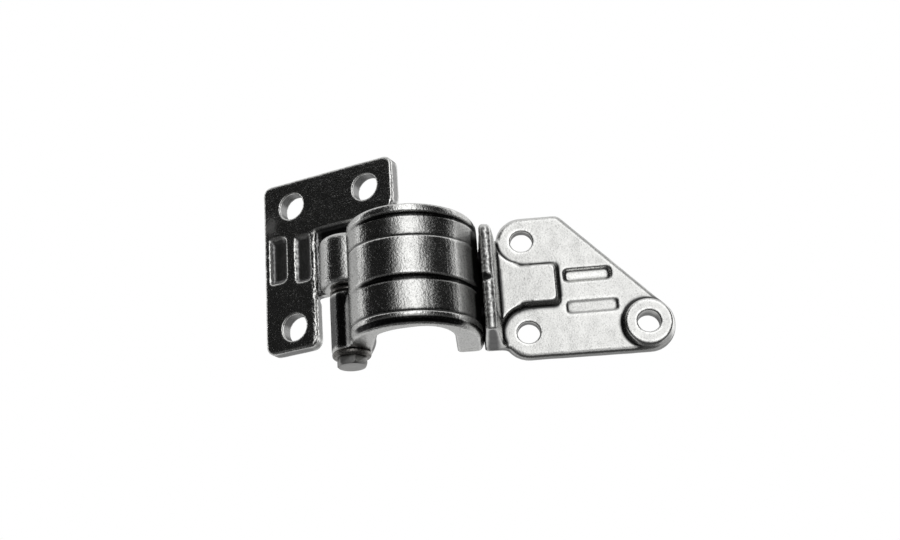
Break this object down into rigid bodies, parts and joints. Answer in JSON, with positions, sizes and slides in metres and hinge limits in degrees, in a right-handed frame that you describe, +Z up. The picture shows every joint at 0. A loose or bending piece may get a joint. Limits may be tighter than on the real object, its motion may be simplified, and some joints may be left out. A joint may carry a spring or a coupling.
{
  "type": "truck door hinge",
  "caption": "Forged truck door hinge with an L-shaped pillar plate, a bowed arm that swings on a pivot bolt under the plate's knuckle, and a triangular door bracket.",
  "frame": {"origin": "on the pillar plate's flat back, midway between the two bolt holes above one another", "axes": "+Y out of the pillar plate's back into the pillar, +Z up along the pivot bolt towards the plate's top, +X from the plate towards the arm"},
  "size_m": [0.1944, 0.1006, 0.1106],
  "materials": {
    "plated_forging": "bright zinc plating over the grain of a forged surface",
    "bolt_steel": "zinc-plated turned steel",
    "bush": "dark oiled sintered bronze"
  },
  "bodies": {
    "pillar_side": {"pillar_plate": "plated_forging", "pivot_bolt": "bolt_steel"},
    "door_side": {"hinge_arm": "plated_forging", "door_bracket": "plated_forging", "lower_bush": "bush", "upper_bush": "bush", "lower_foot_screw": "bolt_steel", "upper_foot_screw": "bolt_steel"}
  },
  "joints": [
    {"name": "door_swing", "type": "hinge", "parent": "pillar_side", "child": "door_side", "pos_m": [0.0371, -0.0165, -0.0566], "axis": [0, 0, 1], "range_deg": [-23.2, 56.8]}
  ]
}
